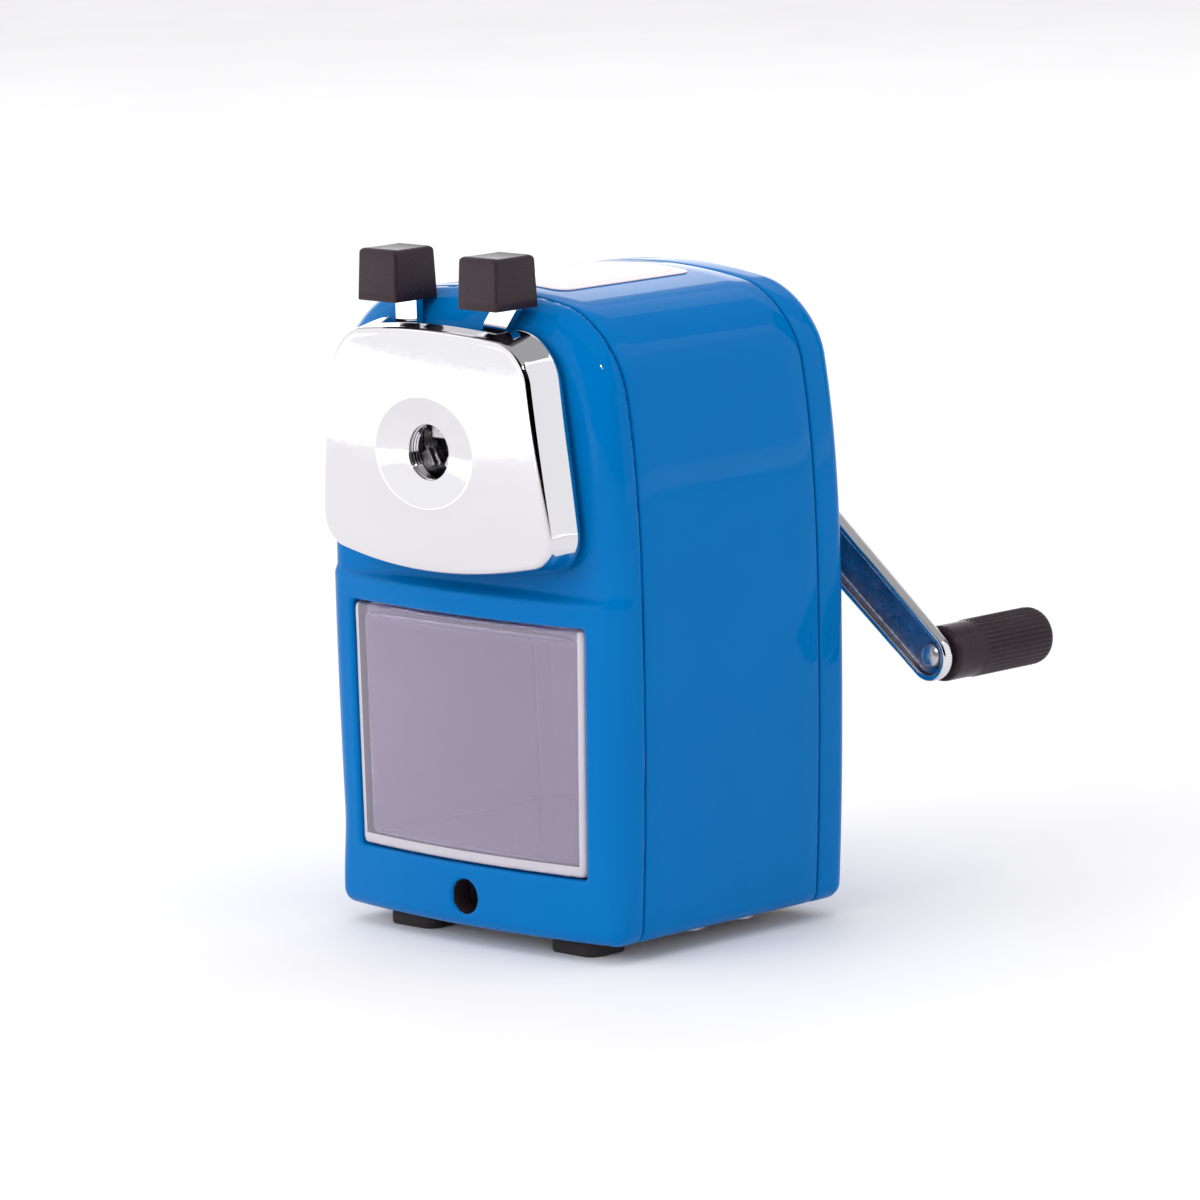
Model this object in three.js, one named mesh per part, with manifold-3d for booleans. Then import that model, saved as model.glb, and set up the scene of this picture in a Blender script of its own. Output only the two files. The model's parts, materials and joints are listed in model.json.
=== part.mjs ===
// Hand-cranked desk pencil sharpener, built as an assembly of separate pieces.
// Millimetres, +Z up. The front faces -Y and the crank is at the back (+Y).
import * as THREE from "three";
import { mergeVertices } from "three/addons/utils/BufferGeometryUtils.js";
import Module from "manifold-3d";

const wasm = await Module();
wasm.setup();

// ---------------------------------------------------------------- driving dimensions

const GAP = 0.3; // clearance between pieces that touch

// Housing
const BODY_BOTTOM = 3; // underside of the housing above the table
const BODY_TOP = 111.5;
const FOOT_HALF_WIDTH = 33.6; // half width of the housing at its base
const SHOULDER = { x: 32.6, z: 98.5 }; // where the side turns into the shoulder
const CREST = { x: 22, z: 109.3 }; // where the shoulder meets the arched top
const FRONT_SEAM = 14;
const REAR_SEAM = 57;
const BACK = 65;
const BELLY = 5.4; // foremost point of the lower front
const BROW = 7.8; // foremost point of the upper front, behind the face plate
const LEDGE_Z = 61.5; // height where the lower front steps back
const SHELL_WALL = 1.5;
const BASE_HALF_WIDTH = 29.7;
const BASE_THICK = 1.2;

// Pencil axis and the mechanism on it
const AXIS_Z = 85;
const HOLE_RADIUS = 4.6;
const PLATE_WALL = 1.6;
const PLATE_FRONT = -1.5; // foremost point of the face plate
const PLATE_BACK = 7.4;
const PLATE_BOW_RADIUS = 170;
const DISH = { x: 11.4, z: 9.3 };

const ROD = { x: 21.5, z: -10, radius: 1.75, back: 58 };

const CAM_INNER = 9.1;
const CAM_OUTER = 14;
const CAM_THICK = 1.5;
const LEVER_Y = { left: 4.2, right: 6.0 }; // front faces of the cam plates
const STEM_TOP = 29; // above the pencil axis
const CAP = { x: 11.9, y: 5.5, bottom: 109.5, top: 118.6, width: 9.3, depth: 10.1 };

const JAW = { inner: 2.2, outer: 6.4, width: 3, front: 2.6, back: 7.2 };

// Planetary cutter: one inclined helical cutter inside a fixed internal gear
const CUTTER_TILT = THREE.MathUtils.degToRad(10);
const GEAR_MODULE = 1;
const RING_TEETH = 24;
const PINION_TEETH = 13;
const GEAR_CENTRES = ((RING_TEETH - PINION_TEETH) * GEAR_MODULE) / 2;
const GEAR_Y = 44.5; // mid-plane of the gear mesh
const CUTTER_RADIUS = 5.9;
const CUTTER_FLUTES = 16;
const CUTTER_TWIST = THREE.MathUtils.degToRad(70);
const CARRIER = { front: 18.8, frontThick: 2.5, back: 47.5, backThick: 2.5 };

// Crank
const CRANK_ANGLE = THREE.MathUtils.degToRad(-39); // below the horizontal, to the right
const CRANK_LENGTH = 62.5;
const ARM = { radius: 4.35, webFront: 70.8, webBack: 72, hubDepth: 5, tipDepth: 3.2, wall: 1 };
const SHAFT_RADIUS = 3;
const GRIP = { radius: 5, front: 72.6, back: 97.6 };

// Drawer
const WINDOW = { bottom: 14, top: 56.6, halfBottom: 27, halfTop: 27.8 };
const DRAWER_BACK = 55.5;
const DRAWER_WALL = 1.8;

// Clamp hole
const CLAMP = { z: 8.5, radius: 2.95, outer: 4.1, depth: 34 };

// ---------------------------------------------------------------- geometry helpers

// Welds a closed geometry, drops slivers and turns its faces outward.
function weld(geometry) {
  const bare = new THREE.BufferGeometry();
  bare.setAttribute("position", geometry.getAttribute("position").clone());
  if (geometry.index) bare.setIndex(geometry.index.clone());
  const merged = mergeVertices(bare, 1e-4);
  const index = merged.index.array;
  const position = merged.getAttribute("position");
  const [a, b, c] = [new THREE.Vector3(), new THREE.Vector3(), new THREE.Vector3()];
  const faces = [];
  let volume = 0;
  for (let i = 0; i < index.length; i += 3) {
    const [ia, ib, ic] = [index[i], index[i + 1], index[i + 2]];
    if (ia === ib || ib === ic || ic === ia) continue;
    a.fromBufferAttribute(position, ia);
    b.fromBufferAttribute(position, ib);
    c.fromBufferAttribute(position, ic);
    volume += a.dot(b.cross(c));
    faces.push([ia, ib, ic]);
  }
  merged.setIndex(faces.flatMap(([i, j, k]) => (volume > 0 ? [i, j, k] : [i, k, j])));
  return merged;
}

function toSolid(geometry) {
  const welded = weld(geometry);
  return new wasm.Manifold(new wasm.Mesh({
    numProp: 3,
    vertProperties: new Float32Array(welded.getAttribute("position").array),
    triVerts: new Uint32Array(welded.index.array),
  }));
}

function toGeometry(manifold) {
  const { vertProperties, triVerts } = manifold.getMesh();
  const geometry = new THREE.BufferGeometry();
  geometry.setAttribute("position", new THREE.BufferAttribute(vertProperties, 3));
  geometry.setIndex(new THREE.BufferAttribute(triVerts, 1));
  return geometry;
}

function combine(operation, first, rest) {
  return toGeometry(rest.reduce((sum, next) => sum[operation](toSolid(next)), toSolid(first)));
}

const cut = (first, ...rest) => combine("subtract", first, rest);
const join = (first, ...rest) => combine("add", first, rest);
const common = (first, ...rest) => combine("intersect", first, rest);

// A shape drawn in X and Z, extruded along Y from front to back.
function extrudeY(shape, front, back, options = {}) {
  const settings = { depth: back - front, bevelEnabled: false, curveSegments: 8, ...options };
  return new THREE.ExtrudeGeometry(shape, settings).rotateX(Math.PI / 2).translate(0, back, 0);
}

// A shape drawn in X and Y, extruded along Z.
function extrudeZ(shape, bottom, top, curveSegments = 8) {
  const settings = { depth: top - bottom, bevelEnabled: false, curveSegments };
  return new THREE.ExtrudeGeometry(shape, settings).translate(0, 0, bottom);
}

// A shape drawn in Y and Z, extruded along X.
function extrudeX(shape, left, right) {
  const settings = { depth: right - left, bevelEnabled: false, curveSegments: 8 };
  const turn = new THREE.Matrix4().makeBasis(
    new THREE.Vector3(0, 1, 0),
    new THREE.Vector3(0, 0, 1),
    new THREE.Vector3(1, 0, 0),
  );
  return new THREE.ExtrudeGeometry(shape, settings).applyMatrix4(turn).translate(left, 0, 0);
}

function box(x0, x1, y0, y1, z0, z1) {
  const geometry = new THREE.BoxGeometry(x1 - x0, y1 - y0, z1 - z0);
  return geometry.translate((x0 + x1) / 2, (y0 + y1) / 2, (z0 + z1) / 2);
}

// A cylinder about the Y direction through (x, z).
function rod(x, z, radius, front, back, segments = 20) {
  const geometry = new THREE.CylinderGeometry(radius, radius, back - front, segments);
  return geometry.translate(x, (front + back) / 2, z);
}

// A tube about the Y axis.
function tube(inner, outer, front, back, segments = 28) {
  return turned([[inner, front], [outer, front], [outer, back], [inner, back], [inner, front]], segments);
}

// A profile of [radius, y] points turned about the Y axis.
function turned(profile, segments = 28) {
  return new THREE.LatheGeometry(profile.map(([r, y]) => new THREE.Vector2(r, y)), segments);
}

// Closes a half outline, drawn on the +X side from the centre line back to it.
function mirrored(half, divisions = 8) {
  const right = half.getPoints(divisions);
  const left = right.slice(1, -1).reverse().map((point) => new THREE.Vector2(-point.x, point.y));
  return new THREE.Shape([...right, ...left]);
}

const WIRE_SIDES = 4;

// Wire wound round the Y axis, with the given turns between two stations.
function coil(radius, wire, front, back, turns, stepsPerTurn = 9) {
  class Helix extends THREE.Curve {
    getPoint(t, target = new THREE.Vector3()) {
      const angle = 2 * Math.PI * turns * t;
      return target.set(radius * Math.cos(angle), front + (back - front) * t, radius * Math.sin(angle));
    }
  }
  const section = new THREE.Shape(
    Array.from({ length: WIRE_SIDES }, (_, i) => {
      const angle = (2 * Math.PI * i) / WIRE_SIDES;
      return new THREE.Vector2(wire * Math.cos(angle), wire * Math.sin(angle));
    }),
  );
  return new THREE.ExtrudeGeometry(section, {
    steps: Math.round(turns * stepsPerTurn),
    extrudePath: new Helix(),
    bevelEnabled: false,
  });
}

// ---------------------------------------------------------------- outlines

// Housing outline seen from the front, drawn in by the inset.
function bodyOutline(inset = 0) {
  const side = FOOT_HALF_WIDTH - inset;
  const floor = BODY_BOTTOM + inset;
  const half = new THREE.Path();
  half.moveTo(0, floor);
  half.lineTo(side - 2.4, floor);
  half.quadraticCurveTo(side, floor, side, floor + 2.4);
  half.bezierCurveTo(side + 2.7, 40, side + 3.3, 73, SHOULDER.x - inset, SHOULDER.z);
  half.bezierCurveTo(31.6 - inset, 104.5, 29 - inset, 107.6 - inset, CREST.x - inset / 2, CREST.z - inset);
  half.quadraticCurveTo(12, BODY_TOP - inset, 0, BODY_TOP - inset);
  return mirrored(half);
}

// Housing front seen from above: a shallow bow with rounded corners.
function bowOutline(front, corner) {
  const half = new THREE.Path();
  half.moveTo(0, front);
  half.quadraticCurveTo(15, front, 28, corner);
  half.quadraticCurveTo(35.4, corner + 1, 36.6, FRONT_SEAM);
  half.lineTo(36.6, 80);
  half.lineTo(0, 80);
  return mirrored(half);
}

// Face plate outline about the pencil axis, wider at the bottom.
function plateOutline(inset = 0) {
  const half = new THREE.Path();
  half.moveTo(0, -21.6 + inset);
  half.quadraticCurveTo(14, -21.4 + inset, 23 - inset, -19 + inset);
  half.quadraticCurveTo(29.2 - inset, -17.2 + inset, 28.3 - inset, -12);
  half.quadraticCurveTo(27 - inset, 2, 24.6 - inset, 13);
  half.quadraticCurveTo(23.4 - inset, 20.2 - inset, 17.5 - inset, 20.9 - inset);
  half.quadraticCurveTo(9, 22.1 - inset, 0, 22.1 - inset);
  return mirrored(half, 5);
}

function windowOutline(inset = 0) {
  return new THREE.Shape([
    new THREE.Vector2(-WINDOW.halfBottom + inset, WINDOW.bottom + inset),
    new THREE.Vector2(WINDOW.halfBottom - inset, WINDOW.bottom + inset),
    new THREE.Vector2(WINDOW.halfTop - inset, WINDOW.top - inset),
    new THREE.Vector2(-WINDOW.halfTop + inset, WINDOW.top - inset),
  ]);
}

// ---------------------------------------------------------------- materials

const paint = () => new THREE.MeshStandardMaterial({ color: 0x0070bb, roughness: 0.2, metalness: 0 });
const chrome = () => new THREE.MeshStandardMaterial({ color: 0xe4e4ea, roughness: 0.07, metalness: 1 });
const steel = () => new THREE.MeshStandardMaterial({ color: 0xb6b6ba, roughness: 0.35, metalness: 1 });
const hardened = () => new THREE.MeshStandardMaterial({ color: 0x6a6a70, roughness: 0.4, metalness: 1 });
const brass = () => new THREE.MeshStandardMaterial({ color: 0xb08d4a, roughness: 0.35, metalness: 1 });
const black = () => new THREE.MeshStandardMaterial({ color: 0x3b3235, roughness: 0.45, metalness: 0 });
const rubber = () => new THREE.MeshStandardMaterial({ color: 0x231d20, roughness: 0.85, metalness: 0 });
const nylon = () => new THREE.MeshStandardMaterial({ color: 0xd9d6cc, roughness: 0.5, metalness: 0 });
const paper = () => new THREE.MeshStandardMaterial({ color: 0xf2e4ea, roughness: 0.5, metalness: 0 });
const clear = () => new THREE.MeshStandardMaterial({
  color: 0xb9b4c6, roughness: 0.08, metalness: 0, transparent: true, opacity: 0.45,
});

function piece(name, geometry, material) {
  const mesh = new THREE.Mesh(weld(geometry), material);
  mesh.name = name;
  return mesh;
}

// ---------------------------------------------------------------- housing

function frontFrame() {
  const lower = extrudeZ(bowOutline(BELLY, 7.6), 0, LEDGE_Z);
  const upper = extrudeZ(bowOutline(BROW, 8.5), LEDGE_Z - 0.5, 120);
  const brow = new THREE.Shape();
  brow.moveTo(0, 0);
  brow.lineTo(30, 0);
  brow.lineTo(30, 120);
  brow.lineTo(FRONT_SEAM, BODY_TOP + 0.4);
  brow.quadraticCurveTo(BROW + 0.8, BODY_TOP - 3, BROW, 102);
  brow.lineTo(0, 102);
  const block = common(
    extrudeY(bodyOutline(), 0, FRONT_SEAM),
    join(lower, upper),
    extrudeX(brow, -40, 40),
  );
  return cut(
    block,
    extrudeY(bodyOutline(2), 10, 20),
    box(-BASE_HALF_WIDTH - GAP, BASE_HALF_WIDTH + GAP, 10, 20, 0, 8),
    extrudeY(windowOutline(), 0, 20),
    extrudeY(plateOutline(3), 0, 20).translate(0, 0, AXIS_Z),
    rod(0, CLAMP.z, CLAMP.radius, 0, 20),
  );
}

function bodyShell() {
  return cut(
    extrudeY(bodyOutline(), FRONT_SEAM + GAP, REAR_SEAM - GAP),
    extrudeY(bodyOutline(SHELL_WALL), 0, 80),
    box(-BASE_HALF_WIDTH - GAP, BASE_HALF_WIDTH + GAP, 0, 80, 0, 8),
  );
}

function rearCover() {
  const plan = new THREE.Path();
  plan.moveTo(0, 0);
  plan.lineTo(36.6, 0);
  plan.lineTo(36.6, BACK - 6);
  plan.quadraticCurveTo(35.4, BACK, 29, BACK);
  plan.lineTo(0, BACK);
  const profile = new THREE.Shape();
  profile.moveTo(0, 0);
  profile.lineTo(BACK - 2, 0);
  profile.lineTo(BACK, 5);
  profile.lineTo(BACK, 105);
  profile.quadraticCurveTo(BACK - 0.4, BODY_TOP - 0.6, BACK - 6, BODY_TOP + 0.2);
  profile.lineTo(0, 120);
  const rounded = common(
    extrudeY(bodyOutline(), REAR_SEAM, BACK + 1),
    extrudeZ(mirrored(plan), 0, 120),
    extrudeX(profile, -40, 40),
  );
  return cut(
    rounded,
    extrudeY(bodyOutline(3), 0, BACK - 2),
    box(-BASE_HALF_WIDTH - GAP, BASE_HALF_WIDTH + GAP, 0, BACK - 2, 0, 8),
    rod(0, AXIS_Z, 6.3, 0, 80, 28),
    ...[-1, 1].map((side) => rod(side * 24, 97, 1.8, 0, 80, 12)),
  );
}

function basePlate() {
  const plate = box(
    -BASE_HALF_WIDTH, BASE_HALF_WIDTH, 10 + GAP, BACK - 2 - GAP, BODY_BOTTOM, BODY_BOTTOM + BASE_THICK,
  );
  const holes = screwPlaces().map(([x, y]) => (
    tube(0, 1.8, 0, 8, 12).rotateX(Math.PI / 2).translate(x, y, 0)
  ));
  return cut(plate, ...holes);
}

// Where the four base screws go.
function screwPlaces() {
  return [-1, 1].flatMap((side) => [34, 46].map((y) => [side * 25, y]));
}

// A screw with its head at the bottom, driven up through the base plate.
function baseScrew(x, y) {
  const profile = [[0, 2.7], [2.8, 2.7], [2.8, 1.6], [0, 1.2]].reverse();
  const head = turned(profile, 12);
  const shank = rod(0, 0, 1.5, 2, 9, 12);
  return join(head, shank).rotateX(Math.PI / 2).translate(x, y, 0);
}

function coverScrew() {
  return join(turned([[0, BACK + 0.3], [3, BACK + 0.3], [2.4, BACK + 1.3], [0, BACK + 1.5]], 14),
    rod(0, 0, 1.5, BACK - 8, BACK + 0.6, 12));
}

function foot(x, y) {
  const pad = new THREE.Shape();
  pad.absarc(-3, -2, 2.5, Math.PI, 1.5 * Math.PI);
  pad.absarc(3, -2, 2.5, 1.5 * Math.PI, 2 * Math.PI);
  pad.absarc(3, 2, 2.5, 0, 0.5 * Math.PI);
  pad.absarc(-3, 2, 2.5, 0.5 * Math.PI, Math.PI);
  return extrudeZ(pad, 0, BODY_BOTTOM - GAP, 4).translate(x, y, 0);
}

function topLabel() {
  const skin = cut(extrudeY(bodyOutline(-0.5), 20, 52), extrudeY(bodyOutline(-0.2), 0, 80));
  return common(skin, box(-12.5, 12.5, 20, 52, 100, 130));
}

function mechanismBracket() {
  const half = new THREE.Path();
  half.moveTo(0, 60);
  half.lineTo(31, 60);
  half.lineTo(31, 98);
  half.quadraticCurveTo(30, 105, 20, 106.5);
  half.lineTo(0, 108);
  return cut(
    extrudeY(mirrored(half), 15, 17),
    rod(0, AXIS_Z, HOLE_RADIUS + 2, 0, 30, 28),
    ...[-1, 1].map((side) => rod(side * ROD.x, AXIS_Z + ROD.z, 3.3, 0, 30)),
  );
}

// Drum round the cutter, open at the bottom so that the shavings drop out.
function cutterHousing() {
  const [inner, outer] = [18, 19.4];
  const opening = THREE.MathUtils.degToRad(50);
  const arc = new THREE.Shape();
  arc.absarc(0, 0, outer, -Math.PI / 2 + opening, 1.5 * Math.PI - opening, false);
  arc.absarc(0, 0, inner, 1.5 * Math.PI - opening, -Math.PI / 2 + opening, true);
  return extrudeY(arc, 17 + GAP, 48, { curveSegments: 30 });
}

// Trapezoid teeth on a circle, drawn as one closed outline.
function toothedOutline(teeth, root, tip, rootShare, tipShare, phase) {
  const points = [];
  const pitch = (2 * Math.PI) / teeth;
  for (let i = 0; i < teeth; i += 1) {
    const centre = phase + i * pitch;
    const corners = [[root, -rootShare], [tip, -tipShare], [tip, tipShare], [root, rootShare]];
    corners.forEach(([radius, share]) => {
      const angle = centre + share * pitch;
      points.push(new THREE.Vector2(radius * Math.cos(angle), radius * Math.sin(angle)));
    });
  }
  return points;
}

function ringGear() {
  const outline = new THREE.Shape();
  outline.absarc(0, 0, 17.6, 0, 2 * Math.PI);
  const pitchRadius = (RING_TEETH * GEAR_MODULE) / 2;
  const phase = Math.PI / 2 + Math.PI / RING_TEETH;
  const teeth = toothedOutline(RING_TEETH, pitchRadius + 1.3, pitchRadius - 0.5, 0.2, 0.13, phase);
  outline.holes.push(new THREE.Path(teeth));
  return extrudeY(outline, GEAR_Y - 2.2, GEAR_Y + 2.2, { curveSegments: 20 });
}

function drawerBayRoof() {
  const plate = box(-30.5, 30.5, FRONT_SEAM + 3, 54, 58, 59.2);
  return cut(plate, box(-18, 18, 19, 48, 50, 70));
}

function clampSocket() {
  return tube(CLAMP.radius, CLAMP.outer, 10 + GAP, CLAMP.depth, 20);
}

// ---------------------------------------------------------------- carriage

// Block with the face plate's outline and its bowed front, drawn in by the inset.
function plateBlock(inset, back) {
  const front = PLATE_FRONT + inset;
  const bow = new THREE.Path();
  bow.moveTo(0, front);
  const arcPoints = 6;
  for (let i = 1; i <= arcPoints; i += 1) {
    const x = (36 * i) / arcPoints;
    bow.lineTo(x, front + (x * x) / (2 * PLATE_BOW_RADIUS));
  }
  bow.lineTo(36, 40);
  bow.lineTo(0, 40);
  const slab = extrudeY(plateOutline(inset), -4, back);
  return common(slab, extrudeZ(mirrored(bow, 1), -40, 40));
}

function facePlate() {
  const dish = new THREE.SphereGeometry(1, 28, 16)
    .scale(DISH.x * 1.3, 4.2, DISH.z * 1.3)
    .translate(0, -4.2, 0);
  return cut(
    plateBlock(0, PLATE_BACK),
    plateBlock(PLATE_WALL, PLATE_BACK + 1),
    dish,
    rod(0, 0, HOLE_RADIUS + 1.5, -10, 10, 28),
    box(-15, 15, LEVER_Y.left - 0.6, 12, 15, 30),
  );
}

function noseBush() {
  return turned([
    [HOLE_RADIUS, -0.1], [HOLE_RADIUS + 1.2, -0.1], [HOLE_RADIUS + 1.2, 0.6],
    [HOLE_RADIUS + 2.6, 0.6], [HOLE_RADIUS + 2.6, 2.2], [HOLE_RADIUS, 2.2], [HOLE_RADIUS, -0.1],
  ]);
}

function chuckPlate() {
  const flange = extrudeY(plateOutline(3.5), PLATE_BACK + GAP, 9.6);
  const hub = rod(0, 0, 12, 9, 13, 28);
  return cut(join(flange, hub), rod(0, 0, HOLE_RADIUS + 0.9, 0, 20, 28));
}

function guideRod(side) {
  const shaft = rod(side * ROD.x, ROD.z, ROD.radius, 9.6 + GAP, ROD.back, 16);
  const groove = tube(ROD.radius - 0.4, ROD.radius + 1, ROD.back - 2.2, ROD.back - 1, 16);
  return cut(shaft, groove.translate(side * ROD.x, 0, ROD.z));
}

function rodClip(side) {
  const ring = tube(ROD.radius - 0.2, ROD.radius + 2, ROD.back - 1.9, ROD.back - 1.3, 16);
  return cut(ring, box(-0.9, 0.9, 0, 80, 0, 8)).translate(side * ROD.x, 0, ROD.z);
}

function guideBush(side) {
  const profile = [
    [1.95, 14.4], [3, 14.4], [3, 17.3], [4.1, 17.3], [4.1, 18.6], [1.95, 18.6], [1.95, 14.4],
  ];
  return turned(profile, 18).translate(side * ROD.x, 0, ROD.z);
}

function returnSpring(side) {
  return coil(2.8, 0.4, 19.3, ROD.back - 2.6, 9).translate(side * ROD.x, 0, ROD.z);
}

// ---------------------------------------------------------------- jaw levers

// Flat bar in X and Z, as thick as a cam plate.
function strap(points, front) {
  const outline = new THREE.Shape(points.map(([x, z]) => new THREE.Vector2(x, z)));
  return extrudeY(outline, front, front + CAM_THICK);
}

// Cam plate with the tail that the lever spring hooks on.
function camPlate(side, front) {
  const tail = box(-2, 2, front, front + CAM_THICK, -CAM_OUTER - 2.6, -CAM_OUTER + 1);
  return join(tube(CAM_INNER, CAM_OUTER, front, front + CAM_THICK), tail.rotateY(-side * 0.37));
}

// The left stem steps back behind the right cam plate, so that both caps line up.
function leverLeft() {
  const root = strap([[-12.5, 5], [-6, 9.5], [-8, 17], [-13, 17]], LEVER_Y.left);
  const joggle = box(-13, -8, LEVER_Y.left, LEVER_Y.right + CAM_THICK, 15.5, 17);
  const stem = strap([[-13, 15.5], [-8, 15.5], [-8, STEM_TOP], [-13, STEM_TOP]], LEVER_Y.right);
  return join(camPlate(-1, LEVER_Y.left), root, joggle, stem);
}

function leverRight() {
  const stem = [
    [5.5, 9.5], [11.8, 9], [12.9, 20.8], [15.6, 24.3],
    [15.6, STEM_TOP], [10.6, STEM_TOP], [10.6, 25.2], [7.9, 21.6],
  ];
  return join(camPlate(1, LEVER_Y.right), strap(stem, LEVER_Y.right));
}

// Push-on cap with rounded edges and a slot from below for the stem.
function leverCap(side, slotLeft, slotRight) {
  const round = 1;
  const [halfX, halfY] = [CAP.width / 2 - round, CAP.depth / 2 - round];
  const inner = new THREE.Shape([
    new THREE.Vector2(-halfX, -halfY),
    new THREE.Vector2(halfX, -halfY),
    new THREE.Vector2(halfX, halfY),
    new THREE.Vector2(-halfX, halfY),
  ]);
  const block = new THREE.ExtrudeGeometry(inner, {
    depth: CAP.top - CAP.bottom - round,
    bevelEnabled: true,
    bevelSize: round,
    bevelThickness: round,
    bevelSegments: 2,
  }).translate(side * CAP.x, CAP.y, CAP.bottom - AXIS_Z);
  const below = box(-40, 40, -20, 30, 0, CAP.bottom - AXIS_Z);
  const slot = box(
    slotLeft, slotRight, LEVER_Y.right - GAP, LEVER_Y.right + CAM_THICK + GAP, 0, STEM_TOP + GAP,
  );
  return cut(block, below, slot);
}

function leverSpring() {
  const y = LEVER_Y.right - GAP / 2;
  return coil(1.2, 0.3, -3.2, 3.2, 6).rotateZ(Math.PI / 2).translate(0, y, -CAM_OUTER - 4);
}

function jaw() {
  const block = box(JAW.inner, JAW.outer, JAW.front, JAW.back, -JAW.width / 2, JAW.width / 2);
  const teeth = [0, 1, 2].map((i) => {
    const y = JAW.front + 0.9 + 1.5 * i;
    return box(JAW.inner - 1, JAW.inner + 0.5, y, y + 0.6, -4, 4);
  });
  return cut(block, ...teeth);
}

// ---------------------------------------------------------------- drawer

function drawerTray() {
  const outer = common(
    extrudeY(windowOutline(0.4), 0, DRAWER_BACK),
    extrudeZ(bowOutline(BELLY + 0.4, 8), 0, 80),
  );
  const inner = common(
    extrudeY(windowOutline(0.4 + DRAWER_WALL), 0, DRAWER_BACK - DRAWER_WALL),
    extrudeZ(bowOutline(BELLY + 0.4 + DRAWER_WALL, 8 + DRAWER_WALL), 0, 80),
  );
  const mouth = box(
    -WINDOW.halfBottom + 0.4 + DRAWER_WALL, WINDOW.halfBottom - 0.4 - DRAWER_WALL,
    9.9, DRAWER_BACK - DRAWER_WALL, 40, 80,
  );
  return cut(outer, inner, mouth);
}

// ---------------------------------------------------------------- crank and cutter

function cutterCarrier() {
  const frontRing = tube(5.2, 13, CARRIER.front, CARRIER.front + CARRIER.frontThick, 30);
  const backDisc = rod(0, 0, 11, CARRIER.back, CARRIER.back + CARRIER.backThick, 28);
  const arms = [-1, 1].map((side) => {
    const [x0, x1] = side > 0 ? [8.3, 10.5] : [-10.5, -8.3];
    return box(x0, x1, CARRIER.front + 1, CARRIER.back + 1, -3, 3);
  });
  const bore = rod(0, 0, 1.5 + GAP, -30, 30, 14).rotateX(-CUTTER_TILT).translate(0, GEAR_Y, GEAR_CENTRES);
  return cut(join(frontRing, backDisc, ...arms), bore);
}

function cutterAxle() {
  return rod(0, 0, 1.5, -25.5, 5.3, 14);
}

function pinion() {
  const pitchRadius = (PINION_TEETH * GEAR_MODULE) / 2;
  const outline = new THREE.Shape(
    toothedOutline(PINION_TEETH, pitchRadius - 1.2, pitchRadius + 0.5, 0.21, 0.11, Math.PI / 2),
  );
  const bore = new THREE.Path();
  bore.absarc(0, 0, 1.8, 0, 2 * Math.PI);
  outline.holes.push(bore);
  return extrudeY(outline, -1.8, 1.8, { curveSegments: 7 });
}

// Cylinder with helical cutting edges.
function helicalCutter() {
  const outline = new THREE.Shape(
    toothedOutline(CUTTER_FLUTES, CUTTER_RADIUS - 1, CUTTER_RADIUS, 0.3, 0.1, 0),
  );
  const bore = new THREE.Path();
  bore.absarc(0, 0, 1.8, 0, 2 * Math.PI);
  outline.holes.push(bore);
  const [front, back] = [-22.6, -3.6];
  const geometry = extrudeY(outline, front, back, { steps: 5, curveSegments: 7 });
  const position = geometry.getAttribute("position");
  const point = new THREE.Vector3();
  const axis = new THREE.Vector3(0, 1, 0);
  for (let i = 0; i < position.count; i += 1) {
    point.fromBufferAttribute(position, i);
    point.applyAxisAngle(axis, (CUTTER_TWIST * (point.y - front)) / (back - front));
    position.setXYZ(i, point.x, point.y, point.z);
  }
  return geometry;
}

function crankShaft() {
  const start = CARRIER.back + CARRIER.backThick + GAP;
  return turned([
    [0, start], [6, start], [6, start + 1.6], [SHAFT_RADIUS, start + 1.6],
    [SHAFT_RADIUS, ARM.webFront - GAP], [2, ARM.webFront - GAP], [2, 76.4], [0, 76.4],
  ], 24);
}

function rearBush() {
  return turned([
    [SHAFT_RADIUS + 0.1, 61], [7.6, 61], [7.6, 62.6], [5.9, 62.6],
    [5.9, BACK + 0.6], [SHAFT_RADIUS + 0.1, BACK + 0.6], [SHAFT_RADIUS + 0.1, 61],
  ], 28);
}

// Pressed channel arm along +X, open towards the housing.
function crankArm() {
  const stadium = (inset) => {
    const shape = new THREE.Shape();
    shape.absarc(0, 0, ARM.radius + 0.6 - inset, Math.PI / 2, 1.5 * Math.PI);
    shape.absarc(CRANK_LENGTH, 0, ARM.radius - inset, 1.5 * Math.PI, 2.5 * Math.PI);
    return shape;
  };
  const taper = new THREE.Shape([
    new THREE.Vector2(-10, ARM.webFront - ARM.hubDepth),
    new THREE.Vector2(CRANK_LENGTH + 10, ARM.webFront - ARM.tipDepth + 0.4),
    new THREE.Vector2(CRANK_LENGTH + 10, 90),
    new THREE.Vector2(-10, 90),
  ]);
  const block = common(
    extrudeY(stadium(0), 60, ARM.webBack, { curveSegments: 10 }),
    extrudeZ(taper, -20, 20),
  );
  return cut(
    block,
    extrudeY(stadium(ARM.wall), 60, ARM.webFront, { curveSegments: 10 }),
    rod(0, 0, 2.3, 0, 90, 16),
    rod(CRANK_LENGTH, 0, 1.9, 0, 90, 16),
  );
}

function gripPin() {
  const profile = [
    [0, 69.3], [1.6, 69.3], [2.3, 69.8], [2.3, 70.5], [1.6, 70.5],
    [1.6, 88], [2.6, 88], [2.6, 89.4], [0, 89.4],
  ];
  return turned(profile, 18);
}

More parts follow.
